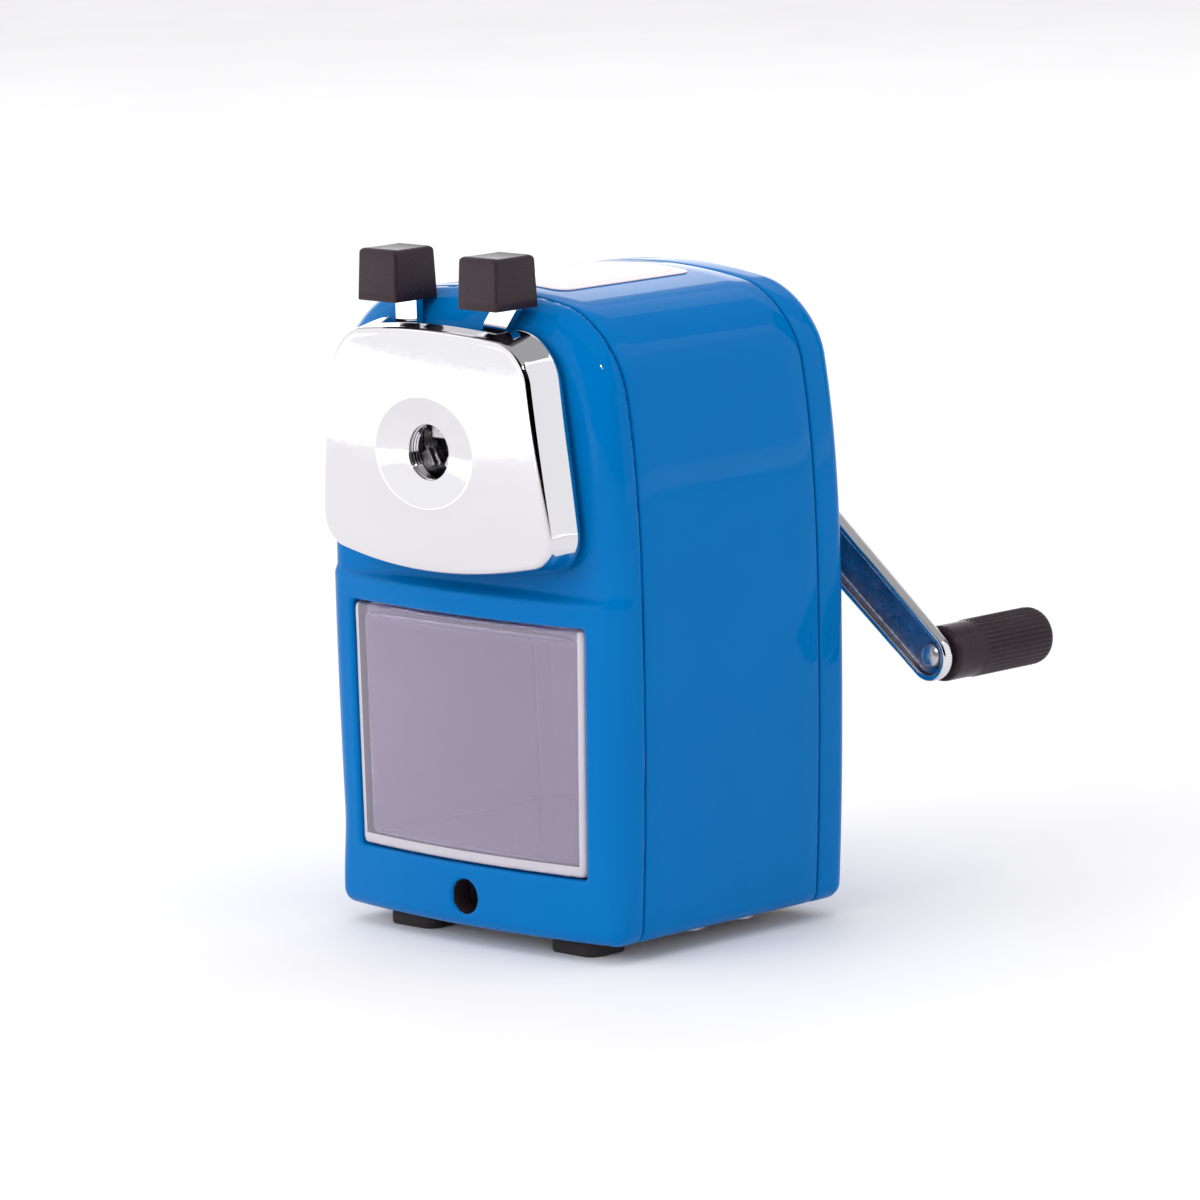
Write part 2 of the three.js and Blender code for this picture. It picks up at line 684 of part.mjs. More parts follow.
function crankGrip() {
  const { radius, front, back } = GRIP;
  return turned([
    [1.9, front], [radius, front], [radius, back - 1.2], [radius - 1.2, back], [0, back],
    [0, 91.5], [3.1, 91.5], [3.1, 87.6], [1.9, 87.6], [1.9, front],
  ], 30);
}

function shaftNut() {
  const hexagon = new THREE.CylinderGeometry(4.1, 4.1, 2.6, 6).translate(0, 74.6, 0);
  return cut(hexagon, rod(0, 0, 2.15, 0, 90, 16));
}

// ---------------------------------------------------------------- assembly

const sharpener = new THREE.Group();

const housing = new THREE.Group();
housing.add(
  piece("front_frame", frontFrame(), paint()),
  piece("body_shell", bodyShell(), paint()),
  piece("rear_cover", rearCover(), paint()),
  piece("base_plate", basePlate(), steel()),
  piece("top_label", topLabel(), paper()),
  piece("mechanism_bracket", mechanismBracket(), steel()),
  piece("drawer_bay_roof", drawerBayRoof(), steel()),
);
[["left", -1], ["right", 1]].forEach(([name, side]) => {
  housing.add(
    piece(`foot_front_${name}`, foot(side * 19.3, 15.5), rubber()),
    piece(`foot_rear_${name}`, foot(side * 13.3, 55.5), rubber()),
  );
  const screw = piece(`cover_screw_${name}`, coverScrew(), steel());
  screw.position.set(side * 24, 0, 97);
  housing.add(screw);
});
screwPlaces().forEach(([x, y], i) => {
  housing.add(piece(`base_screw_${i + 1}`, baseScrew(x, y), steel()));
});
const socket = piece("clamp_socket", clampSocket(), steel());
socket.position.z = CLAMP.z;
housing.add(socket);

const onAxis = new THREE.Group();
onAxis.position.z = AXIS_Z;
onAxis.add(
  piece("cutter_housing", cutterHousing(), steel()),
  piece("ring_gear", ringGear(), hardened()),
  piece("rear_bush", rearBush(), brass()),
  piece("face_plate", facePlate(), chrome()),
  piece("nose_bush", noseBush(), chrome()),
  piece("chuck_plate", chuckPlate(), steel()),
  piece("lever_spring", leverSpring(), hardened()),
  piece("cutter_carrier", cutterCarrier(), steel()),
  piece("crank_shaft", crankShaft(), steel()),
  piece("shaft_washer", tube(2.2, 4.4, ARM.webBack + GAP, ARM.webBack + 1, 20), steel()),
  piece("shaft_nut", shaftNut(), steel()),
);

onAxis.add(
  piece("lever_left", leverLeft(), chrome()),
  piece("lever_right", leverRight(), chrome()),
  piece("lever_cap_left", leverCap(-1, -13 - GAP, -8 + GAP), black()),
  piece("lever_cap_right", leverCap(1, 9.6, 15.6 + GAP), black()),
);
[["left", -1], ["right", 1]].forEach(([name, side]) => {
  onAxis.add(
    piece(`guide_rod_${name}`, guideRod(side), chrome()),
    piece(`rod_clip_${name}`, rodClip(side), hardened()),
    piece(`guide_bush_${name}`, guideBush(side), nylon()),
    piece(`return_spring_${name}`, returnSpring(side), hardened()),
  );
});

const JAW_COUNT = 3;
for (let i = 0; i < JAW_COUNT; i += 1) {
  const jawPiece = piece(`jaw_${i + 1}`, jaw(), hardened());
  jawPiece.rotation.y = -Math.PI / 2 + (i * 2 * Math.PI) / JAW_COUNT;
  onAxis.add(jawPiece);
}

// The cutter, its pinion and its axle lean towards the pencil's point.
const cutterGroup = new THREE.Group();
cutterGroup.position.set(0, GEAR_Y, GEAR_CENTRES);
cutterGroup.rotation.x = -CUTTER_TILT;
cutterGroup.add(
  piece("cutter_axle", cutterAxle(), steel()),
  piece("helical_cutter", helicalCutter(), hardened()),
  piece("cutter_pinion", pinion(), brass()),
);
onAxis.add(cutterGroup);

const crank = new THREE.Group();
crank.rotation.y = -CRANK_ANGLE;
crank.add(piece("crank_arm", crankArm(), chrome()));
const gripPieces = new THREE.Group();
gripPieces.position.x = CRANK_LENGTH;
gripPieces.add(
  piece("grip_pin", gripPin(), steel()),
  piece("crank_grip", crankGrip(), black()),
);
crank.add(gripPieces);
onAxis.add(crank);

sharpener.add(housing, onAxis, piece("drawer_tray", drawerTray(), clear()));

// The origin is the middle of the footprint, on the table.
sharpener.updateMatrixWorld(true);
const extent = new THREE.Box3().setFromObject(sharpener, true);
const middle = extent.getCenter(new THREE.Vector3());
sharpener.position.set(-middle.x, -middle.y, -extent.min.z);

export default sharpener;
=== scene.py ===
"""Looks of the desk pencil sharpener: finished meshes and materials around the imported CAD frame.

Shapes are worked out in millimetres in the sharpener's own axes: X to the right seen from the front, Y from
the front to the back, Z up from the table, with X = 0 on the centre plane and the front seam at Y = 14.
"""
import json
import math

import bmesh
import bpy
import numpy as np
from mathutils import Matrix, Vector

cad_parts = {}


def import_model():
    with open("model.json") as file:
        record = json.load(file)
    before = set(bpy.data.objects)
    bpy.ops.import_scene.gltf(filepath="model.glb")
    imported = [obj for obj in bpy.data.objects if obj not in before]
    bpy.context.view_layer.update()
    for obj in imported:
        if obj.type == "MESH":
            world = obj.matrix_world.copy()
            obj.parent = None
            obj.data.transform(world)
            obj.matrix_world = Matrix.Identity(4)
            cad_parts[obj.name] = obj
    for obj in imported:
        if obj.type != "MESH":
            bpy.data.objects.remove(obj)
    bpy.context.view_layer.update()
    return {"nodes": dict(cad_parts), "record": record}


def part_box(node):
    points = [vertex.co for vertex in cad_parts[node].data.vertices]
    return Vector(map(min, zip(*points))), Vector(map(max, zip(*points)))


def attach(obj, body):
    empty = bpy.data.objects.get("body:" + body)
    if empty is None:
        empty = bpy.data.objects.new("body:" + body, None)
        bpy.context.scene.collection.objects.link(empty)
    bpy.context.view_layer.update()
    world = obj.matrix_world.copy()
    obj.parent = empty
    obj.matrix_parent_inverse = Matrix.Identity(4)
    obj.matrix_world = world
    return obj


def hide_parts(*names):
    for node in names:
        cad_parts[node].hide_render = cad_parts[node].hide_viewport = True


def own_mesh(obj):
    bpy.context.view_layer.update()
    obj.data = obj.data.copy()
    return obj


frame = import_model()

# ---------------------------------------------------------------- driving dimensions, in millimetres

MM = 0.001
FRONT_SEAM, REAR_SEAM, GAP = 14.0, 57.0, 0.3
shell_low, shell_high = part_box("body_shell")
ORIGIN = np.array([(shell_low.x + shell_high.x) / 2, shell_low.y - (FRONT_SEAM + GAP) * MM, 0.0])

BACK = 65.0
BODY_BOTTOM, BODY_TOP = 3.0, 111.4
BODY_SIDE = np.polyfit([3, 30, 58, 80, 98.5], [33.6, 35.1, 35.6, 34.9, 32.5], 4)  # half width over height
TOP_ARCH = 0.0044
SHOULDER, BOTTOM_CORNER = 10.0, 2.6
BASE_HALF = 30.0

AXIS_Z = 85.0
HOLE_RADIUS = 4.6
PLATE = {"front": -1.45, "back": 7.3, "wall": 1.5, "round": 1.15, "flare": 1.2}
DISH_X, DISH_Z, DISH_DEPTH = 11.4, 9.3, 1.45

WINDOW = {"low": 14.0, "high": 56.6, "half_low": 27.0, "half_high": 27.8}

CAP_LOW, CAP_HIGH = 109.5, 118.55
CAP_X, CAP_Y = 11.9, 5.5

CRANK_ANGLE = math.radians(-39)
CRANK_LENGTH = 62.5
CRANK_BACK, CRANK_WEB = 71.98, 1.18
HUB_RADIUS, TIP_RADIUS = 4.9, 4.3
HUB_RIM, TIP_RIM = 68.0, 69.2
GRIP_FRONT, GRIP_BACK = 72.65, 97.55


# ---------------------------------------------------------------- mesh helpers

def refinish(piece, material, chosen):
    """Gives another finish to the faces whose middles (x, y, z in millimetres) pass a test."""
    piece.data.materials.append(material)
    middles = np.empty(3 * len(piece.data.polygons))
    piece.data.polygons.foreach_get("center", middles)
    picked = chosen(*((middles.reshape(-1, 3) - ORIGIN) / MM).T)
    slots = np.empty(len(picked), int)
    piece.data.polygons.foreach_get("material_index", slots)
    slots[picked] = len(piece.data.materials) - 1
    piece.data.polygons.foreach_set("material_index", slots)


def new_object(name, points, faces, material, body, node=None, origin_z=0.0):
    """A smooth-shaded object from points in millimetres; it rides on a body and may stand for a CAD node."""
    mesh = bpy.data.meshes.new(name)
    places = (np.asarray(points, float) + [0, 0, origin_z]) * MM + ORIGIN
    mesh.from_pydata(places.tolist(), [], [list(map(int, face)) for face in faces])
    mesh.update()
    piece = bpy.data.objects.new(name, mesh)
    bpy.context.scene.collection.objects.link(piece)
    recalculate(piece)
    mesh.materials.append(material)
    mesh.shade_smooth()
    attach(piece, body)
    if node:
        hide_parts(node)
    return piece


def recalculate(piece):
    """Points every face outward."""
    work = bmesh.new()
    work.from_mesh(piece.data)
    bmesh.ops.remove_doubles(work, verts=work.verts, dist=1e-7)
    bmesh.ops.recalc_face_normals(work, faces=work.faces)
    work.to_mesh(piece.data)
    work.free()


def loft(rings, closed=True, start_cap=True, end_cap=True):
    """Quads between rings of equal length; the ends may be capped with a fan round their middle."""
    rings = [np.asarray(ring, float) for ring in rings]
    count = len(rings[0])
    points = list(np.concatenate(rings))
    faces = []
    span = count if closed else count - 1
    for k in range(len(rings) - 1):
        for i in range(span):
            j = (i + 1) % count
            faces.append((k * count + i, k * count + j, (k + 1) * count + j, (k + 1) * count + i))
    for wanted, k in ((start_cap, 0), (end_cap, len(rings) - 1)):
        if not wanted:
            continue
        points.append(rings[k].mean(axis=0))
        hub = len(points) - 1
        faces += [(k * count + i, k * count + (i + 1) % count, hub) for i in range(span)]
    return np.array(points), faces


def turned(profile, segments=64, centre=(0.0, 0.0)):
    """A profile of (radius, y) turned about Y, which starts and ends on the axis or closes on itself."""
    angles = np.linspace(0, 2 * np.pi, segments, endpoint=False)
    rings = []
    for radius, y in profile:
        radius = max(radius, 1e-4)
        x, z = centre[0] + radius * np.cos(angles), centre[1] + radius * np.sin(angles)
        rings.append(np.stack([x, np.full(segments, y), z], axis=1))
    ends_on_axis = profile[0][0] < 1e-3
    return loft(rings, start_cap=ends_on_axis, end_cap=ends_on_axis)


def fillet(a, b, radius, steps=6, start=0.0, end=90.0):
    """Points (u, v) of a quarter round of the given radius about (a, b)."""
    turn = np.radians(np.linspace(start, end, steps))
    return [(a + radius * math.cos(t), b + radius * math.sin(t)) for t in turn]


def round_max(a, b, radius):
    """The intersection of two regions with its corner rounded."""
    u, v = a + radius, b + radius
    return np.minimum(np.maximum(u, v), 0) + np.hypot(np.maximum(u, 0), np.maximum(v, 0)) - radius


def cast(field, centre, angles, reach=130.0):
    """Where rays from a centre in X and Z leave the region in which the field is negative."""
    near, far = np.zeros_like(angles), np.full_like(angles, reach)
    for _ in range(40):
        middle = (near + far) / 2
        inside = field(centre[0] + middle * np.cos(angles), centre[1] + middle * np.sin(angles)) < 0
        near, far = np.where(inside, middle, near), np.where(inside, far, middle)
    return np.stack([centre[0] + near * np.cos(angles), centre[1] + near * np.sin(angles)], axis=1)


def even_angles(field, centre, count, turn_weight=14.0, start=0.0, sweep=2 * np.pi):
    """Ray angles spaced so that the outline's points are even along it and closer where it turns."""
    closed = sweep > 6.28
    dense = np.linspace(start, start + sweep, 3000)
    outline = cast(field, centre, dense)
    step = np.diff(outline, axis=0)
    length = np.hypot(step[:, 0], step[:, 1])
    heading = np.unwrap(np.arctan2(step[:, 1], step[:, 0]))
    turning = np.abs(np.gradient(heading))
    weight = np.concatenate([[0], np.cumsum(length + turn_weight * turning)])
    targets = np.linspace(0, weight[-1], count, endpoint=not closed)
    return np.interp(targets, weight, dense)


def at_y(outline, y):
    """Lifts an outline in X and Z to a ring at one Y, or at a Y for each point."""
    return np.stack([outline[:, 0], np.broadcast_to(y, len(outline)), outline[:, 1]], axis=1)


# ---------------------------------------------------------------- outlines

def body_field(x, z, inset=0.0):
    """Negative inside the housing's outline, seen from the front."""
    side = np.abs(x) - (np.polyval(BODY_SIDE, z) - inset)
    top = z - (BODY_TOP - inset - TOP_ARCH * x * x)
    bottom = BODY_BOTTOM + inset - z
    return round_max(round_max(side, top, SHOULDER - inset), bottom, max(BOTTOM_CORNER - inset, 0.6))


def plate_field(x, z, inset=0.0):
    """Negative inside the face plate's outline, about the pencil axis."""
    side = np.abs(x) - (26.75 - 0.14 * z - 0.0012 * z * z - inset)
    top = z - (22.0 - inset - 0.0035 * x * x)
    bottom = -z - (21.5 - inset - 0.0045 * x * x)
    return round_max(round_max(side, top, 7.0 - inset), bottom, 6.0 - inset)


# ---------------------------------------------------------------- materials

def shader(name, color, roughness, metallic=0.0, **sockets):
    """A Principled material; more sockets by name."""
    material = bpy.data.materials.new(name)
    material.use_nodes = True
    tree = material.node_tree
    surface = tree.nodes["Principled BSDF"]
    surface.inputs["Base Color"].default_value = (*color, 1)
    surface.inputs["Roughness"].default_value = roughness
    surface.inputs["Metallic"].default_value = metallic
    for socket, value in sockets.items():
        surface.inputs[socket.replace("_", " ")].default_value = value
    return material, tree, surface


def add(tree, kind, **settings):
    """A node; each setting is one of its own or the value of a socket."""
    node = tree.nodes.new(kind)
    for key, value in settings.items():
        if hasattr(node, key):
            setattr(node, key, value)
        else:
            node.inputs[key.replace("_", " ")].default_value = value
    return node


def noise(tree, scale, detail=3.0, roughness=0.5, stretch=(1, 1, 1)):
    """Noise in object space, with its scale in features per metre."""
    place = add(tree, "ShaderNodeTexCoord")
    mapping = add(tree, "ShaderNodeMapping", Scale=stretch)
    texture = add(tree, "ShaderNodeTexNoise", Scale=scale, Detail=detail, Roughness=roughness)
    tree.links.new(place.outputs["Object"], mapping.inputs["Vector"])
    tree.links.new(mapping.outputs["Vector"], texture.inputs["Vector"])
    return texture.outputs["Fac"]


def spread(tree, value, low, high, start=0.3, end=0.7):
    """Maps a noise value onto a range."""
    node = add(tree, "ShaderNodeMapRange")
    node.inputs["From Min"].default_value = start
    node.inputs["From Max"].default_value = end
    node.inputs["To Min"].default_value = low
    node.inputs["To Max"].default_value = high
    tree.links.new(value, node.inputs["Value"])
    return node.outputs["Result"]


def tint(tree, value, first, second):
    """A colour between two, by a value."""
    ramp = add(tree, "ShaderNodeValToRGB")
    ramp.color_ramp.elements[0].color = (*first, 1)
    ramp.color_ramp.elements[1].color = (*second, 1)
    ramp.color_ramp.elements[0].position = 0.3
    ramp.color_ramp.elements[1].position = 0.7
    tree.links.new(value, ramp.inputs["Fac"])
    return ramp.outputs["Color"]


def calc(tree, operation, first, second=0.0):
    """A Math node on a socket, with a number or another socket."""
    node = add(tree, "ShaderNodeMath", operation=operation)
    tree.links.new(first, node.inputs[0])
    if isinstance(second, (int, float)):
        node.inputs[1].default_value = second
    else:
        tree.links.new(second, node.inputs[1])
    return node.outputs[0]


def object_place(tree):
    """The X, Y and Z of a point in object space, each a socket."""
    place = add(tree, "ShaderNodeTexCoord")
    split = add(tree, "ShaderNodeSeparateXYZ")
    tree.links.new(place.outputs["Object"], split.inputs["Vector"])
    return split.outputs


def mixed(tree, share, first, second):
    """One of two colours, by a share from 0 to 1."""
    mix = add(tree, "ShaderNodeMix", data_type="RGBA")
    mix.inputs["A"].default_value = (*first, 1)
    mix.inputs["B"].default_value = (*second, 1)
    tree.links.new(share, mix.inputs["Factor"])
    return mix.outputs["Result"]


def bump(tree, surface, height, strength, distance, socket="Normal"):
    """Fine relief on a shader's normal."""
    node = add(tree, "ShaderNodeBump", Strength=strength, Distance=distance)
    tree.links.new(height, node.inputs["Height"])
    tree.links.new(node.outputs["Normal"], surface.inputs[socket])


def blue_enamel():
    """Gloss enamel with a faint orange peel under a thin clear coat."""
    material, tree, surface = shader(
        "blue_enamel", (0.0, 0.16, 0.475), 0.32, Coat_Weight=1.0, Coat_Roughness=0.03, Coat_IOR=1.15,
        Specular_IOR_Level=0.0,
    )
    color = tint(tree, noise(tree, 45, 2), (0.0, 0.155, 0.467), (0.0, 0.165, 0.483))
    tree.links.new(color, surface.inputs["Base Color"])
    tree.links.new(spread(tree, noise(tree, 900, 4), 0.28, 0.38), surface.inputs["Roughness"])
    bump(tree, surface, noise(tree, 260, 1), 0.015, 0.0003, "Coat Normal")
    return material


def bare_inside():
    """Zinc-primed inside of the pressings."""
    material, tree, surface = shader("primed_inside", (0.72, 0.66, 0.84), 0.45, 0.2)
    patch = noise(tree, 120, 4, 0.6)
    tree.links.new(tint(tree, patch, (0.66, 0.6, 0.78), (0.76, 0.7, 0.88)), surface.inputs["Base Color"])
    tree.links.new(spread(tree, patch, 0.36, 0.55), surface.inputs["Roughness"])
    return material


def chrome():
    """Bright plating with faint wiping marks."""
    material, tree, surface = shader("chrome_plate", (0.71, 0.7, 0.73), 0.06, 1.0)
    color = tint(tree, noise(tree, 35, 2), (0.695, 0.685, 0.715), (0.725, 0.715, 0.745))
    tree.links.new(color, surface.inputs["Base Color"])
    wiped = noise(tree, 500, 5, 0.6, (1, 0.2, 3))
    tree.links.new(spread(tree, wiped, 0.04, 0.09), surface.inputs["Roughness"])
    bump(tree, surface, noise(tree, 90, 1), 0.02, 0.0003)
    return material


def zinc_steel(name, color, roughness):
    """Plated or ground steel with a rolled grain."""
    material, tree, surface = shader(name, color, roughness, 1.0)
    lighter = tuple(min(1.0, c * 1.25) for c in color)
    darker = tuple(c * 0.8 for c in color)
    tree.links.new(tint(tree, noise(tree, 350, 4), darker, lighter), surface.inputs["Base Color"])
    grain = noise(tree, 1500, 4, 0.6, (1, 0.08, 1))
    tree.links.new(spread(tree, grain, roughness - 0.08, roughness + 0.12), surface.inputs["Roughness"])
    bump(tree, surface, grain, 0.12, 0.0002)
    return material


def moulded_black():
    """Satin brown-black moulding with a fine spark texture."""
    material, tree, surface = shader("moulded_black", (0.03, 0.017, 0.023), 0.3, Specular_IOR_Level=0.2)
    color = tint(tree, noise(tree, 200, 3), (0.027, 0.015, 0.02), (0.033, 0.019, 0.026))
    tree.links.new(color, surface.inputs["Base Color"])
    fine = noise(tree, 5200, 3)
    tree.links.new(spread(tree, fine, 0.24, 0.36), surface.inputs["Roughness"])
    bump(tree, surface, fine, 0.08, 0.0001)
    return material


def foot_rubber():
    """Matt dark rubber with a coarse speckle."""
    material, tree, surface = shader("foot_rubber", (0.022, 0.017, 0.018), 0.8)
    speck = noise(tree, 2600, 5, 0.7)
    color = tint(tree, speck, (0.017, 0.013, 0.014), (0.034, 0.028, 0.03))
    tree.links.new(color, surface.inputs["Base Color"])
    tree.links.new(spread(tree, speck, 0.7, 0.95), surface.inputs["Roughness"])
    bump(tree, surface, speck, 0.35, 0.0003)
    return material


def machined_brass():
    """Brass with turning marks."""
    material, tree, surface = shader("machined_brass", (0.66, 0.46, 0.17), 0.3, 1.0)
    turn = noise(tree, 1300, 3, 0.6, (1, 0.1, 1))
    tree.links.new(tint(tree, turn, (0.55, 0.37, 0.13), (0.74, 0.54, 0.22)), surface.inputs["Base Color"])
    tree.links.new(spread(tree, turn, 0.2, 0.42), surface.inputs["Roughness"])
    return material


def natural_nylon():
    """Milky uncoloured nylon."""
    material, tree, surface = shader("natural_nylon", (0.7, 0.67, 0.6), 0.45, Subsurface_Weight=0.15)
    cloud = noise(tree, 300, 3)
    tree.links.new(tint(tree, cloud, (0.64, 0.61, 0.54), (0.74, 0.72, 0.65)), surface.inputs["Base Color"])
    tree.links.new(spread(tree, cloud, 0.38, 0.52), surface.inputs["Roughness"])
    return material


def clear_styrene():
    """Smoky clear drawer; its walls and floor have a painted glow where they are seen end-on in the front
    edge: a paler, less clear band standing in for the light they carry.
    """
    material, tree, surface = shader(
        "clear_styrene", (0.88, 0.79, 0.98), 0.03, Transmission_Weight=0.83, IOR=1.49, Specular_IOR_Level=0.5,
    )
    place = object_place(tree)
    edge, sill, gap, depth = 1.15, 1.85, 0.45, 9.4
    lean = (WINDOW["half_high"] - WINDOW["half_low"]) / (WINDOW["high"] - WINDOW["low"])
    across = calc(tree, "ABSOLUTE", calc(tree, "SUBTRACT", place["X"], ORIGIN[0]))
    outer = calc(tree, "SUBTRACT", across, calc(tree, "MULTIPLY", place["Z"], lean))
    half = WINDOW["half_low"] - WINDOW["low"] * lean - gap - edge
    side = calc(tree, "GREATER_THAN", outer, half * MM)
    floor = calc(tree, "LESS_THAN", place["Z"], (WINDOW["low"] + gap + sill) * MM)
    ahead = calc(tree, "LESS_THAN", place["Y"], ORIGIN[1] + depth * MM)
    # Painted light: the end-on front edges of the walls and floor are made paler and less clear, standing in
    # for light carried along the plastic.
    lit = calc(tree, "MULTIPLY", calc(tree, "MAXIMUM", side, floor), ahead)
    color = mixed(tree, lit, (0.88, 0.79, 0.98), (0.84, 0.8, 0.88))
    tree.links.new(color, surface.inputs["Base Color"])
    tree.links.new(spread(tree, lit, 0.83, 0.35, 0, 1), surface.inputs["Transmission Weight"])
    tree.links.new(spread(tree, noise(tree, 60, 3), 0.015, 0.035), surface.inputs["Roughness"])
    return material


def label_film(box_low, box_high):
    """Blank pale film with a plain rounded red outline near its edge."""
    material, tree, surface = shader(
        "label_film", (0.86, 0.72, 0.78), 0.3, Coat_Weight=0.6, Coat_Roughness=0.1,
    )
    place = object_place(tree)
    middle, half = (box_low + box_high) / 2, (box_high - box_low) / 2
    margin, corner, line = 2.0 * MM, 3.0 * MM, 0.45 * MM
    squares = []
    for axis in range(2):
        away = calc(tree, "ABSOLUTE", calc(tree, "SUBTRACT", place[axis], middle[axis]))
        over = calc(tree, "MAXIMUM", calc(tree, "SUBTRACT", away, half[axis] - margin - corner), 0.0)
        squares.append(calc(tree, "MULTIPLY", over, over))
    reach = calc(tree, "SQRT", calc(tree, "ADD", *squares))
    outline = calc(tree, "COMPARE", reach, corner)
    outline.node.inputs[2].default_value = line
    color = mixed(tree, outline, (0.84, 0.72, 0.79), (0.78, 0.2, 0.24))
    tree.links.new(color, surface.inputs["Base Color"])
    tree.links.new(spread(tree, noise(tree, 90, 2), 0.3, 0.36), surface.inputs["Roughness"])
    return material


ENAMEL = blue_enamel()
INSIDE = bare_inside()
CHROME = chrome()
STEEL = zinc_steel("zinc_steel", (0.6, 0.58, 0.6), 0.3)
HARD_STEEL = zinc_steel("hardened_steel", (0.4, 0.39, 0.41), 0.26)
# Darker, duller metal for the inside of the crank channel; its darkness is partly painted shade for the dark
# reflections there.
CHANNEL_SHADE_ZINC = zinc_steel("channel_zinc_painted_shade", (0.36, 0.345, 0.4), 0.3)
BLACK = moulded_black()
RUBBER = foot_rubber()
BRASS = machined_brass()
NYLON = natural_nylon()
CLEAR = clear_styrene()
LABEL = label_film(*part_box("top_label"))
SLOT_MATERIALS = {
    "blue_paint": ENAMEL, "chrome": CHROME, "steel": STEEL, "hard_steel": HARD_STEEL, "brass": BRASS,
    "black_plastic": BLACK, "rubber": RUBBER, "nylon": NYLON, "label": LABEL, "clear_plastic": CLEAR,
}
for part in frame["record"]["subparts"]:
    node = frame["nodes"][part["node"]]
    node.data.materials.clear()
    node.data.materials.append(SLOT_MATERIALS[part["material_slot"]])


# ---------------------------------------------------------------- housing

def body_shell():
    """Wrap-round shell, open underneath, with softened ends."""
    centre = (0.0, 57.0)
    lean = math.atan2(BODY_BOTTOM - centre[1], BASE_HALF + 0.4)
    angles = even_angles(body_field, centre, 240, start=lean, sweep=math.pi - 2 * lean)
    wall = 1.5

    def section(y, ease):
        outer = cast(lambda x, z: body_field(x, z, ease), centre, angles)
        inner = cast(lambda x, z: body_field(x, z, wall - ease), centre, angles)
        return at_y(np.concatenate([outer, inner[::-1]]), y)

    front, back = FRONT_SEAM + GAP, REAR_SEAM - GAP
    rows = [(front, 0.4), (front + 0.06, 0.22), (front + 0.2, 0.07), (front + 0.45, 0.0)]
    rows += [(y, 0.0) for y in np.linspace(front + 4, back - 4, 8)]
    rows += [(back - 0.45, 0.0), (back - 0.2, 0.07), (back - 0.06, 0.22), (back, 0.4)]
    rings = [section(y, ease) for y, ease in rows]
    points, faces = loft(rings, start_cap=False, end_cap=False)
    count, half = len(rings[0]), len(rings[0]) // 2
    for k in (0, len(rings) - 1):
        first, last = k * count, k * count + count - 1
        faces += [(first + i, first + i + 1, last - 1 - i, last - i) for i in range(half - 1)]
    piece = new_object("housing_shell", points, faces, ENAMEL, "housing", "body_shell")
    refinish(piece, INSIDE, lambda x, y, z: body_field(x, z) < -0.8)


def rear_cover():
    """Pressed cover with a rounded back edge, a low raised panel and a hub round the crankshaft."""
    centre = (0.0, AXIS_Z)
    angles = even_angles(body_field, centre, 280)
    hole = np.stack([6.4 * np.cos(angles), AXIS_Z + 6.4 * np.sin(angles)], axis=1)
    edge = 4.6

    def outline(inset):
        return cast(lambda x, z: body_field(x, z, inset), centre, angles)

    wall = 2.0
    rings = [at_y(outline(wall), BACK - wall), at_y(outline(wall), REAR_SEAM + 0.3)]
    lip = ((wall - 0.3, 0), (0.35, 0), (0.18, 0.05), (0.05, 0.2), (0, 0.45))
    rings += [at_y(outline(inset), REAR_SEAM + rise) for inset, rise in lip]
    rings += [at_y(outline(0), REAR_SEAM + 2)]
    for u, v in fillet(0, 0, 1.0, 12):
        inset, y = edge * (1 - u), BACK - edge * 0.86 * (1 - v)
        rings.append(at_y(outline(inset), y))
    rim = outline(edge)
    panel = [(0.05, 0.0), (0.1, 0.0), (0.125, -0.1), (0.145, -0.3), (0.165, -0.4), (0.2, -0.4)]
    panel += [(t, -0.4) for t in np.linspace(0.3, 0.86, 8)]
    panel += [(0.9, -0.4), (0.93, 0.1), (0.96, 0.35), (1.0, 0.4)]
    for share, rise in panel:
        rings.append(at_y(rim + (hole - rim) * share, BACK + rise - 0.4))
    rings.append(at_y(hole, BACK - wall))
    rings.append(rings[0])
    points, faces = loft(rings, start_cap=False, end_cap=False)
    piece = new_object("housing_rear_cover", points, faces, ENAMEL, "housing", "rear_cover")
    refinish(piece, INSIDE, lambda x, y, z: (y < BACK - 1.1) & (body_field(x, z) < -1.6))


body_shell()
rear_cover()


# ---------------------------------------------------------------- rounded solids from fields

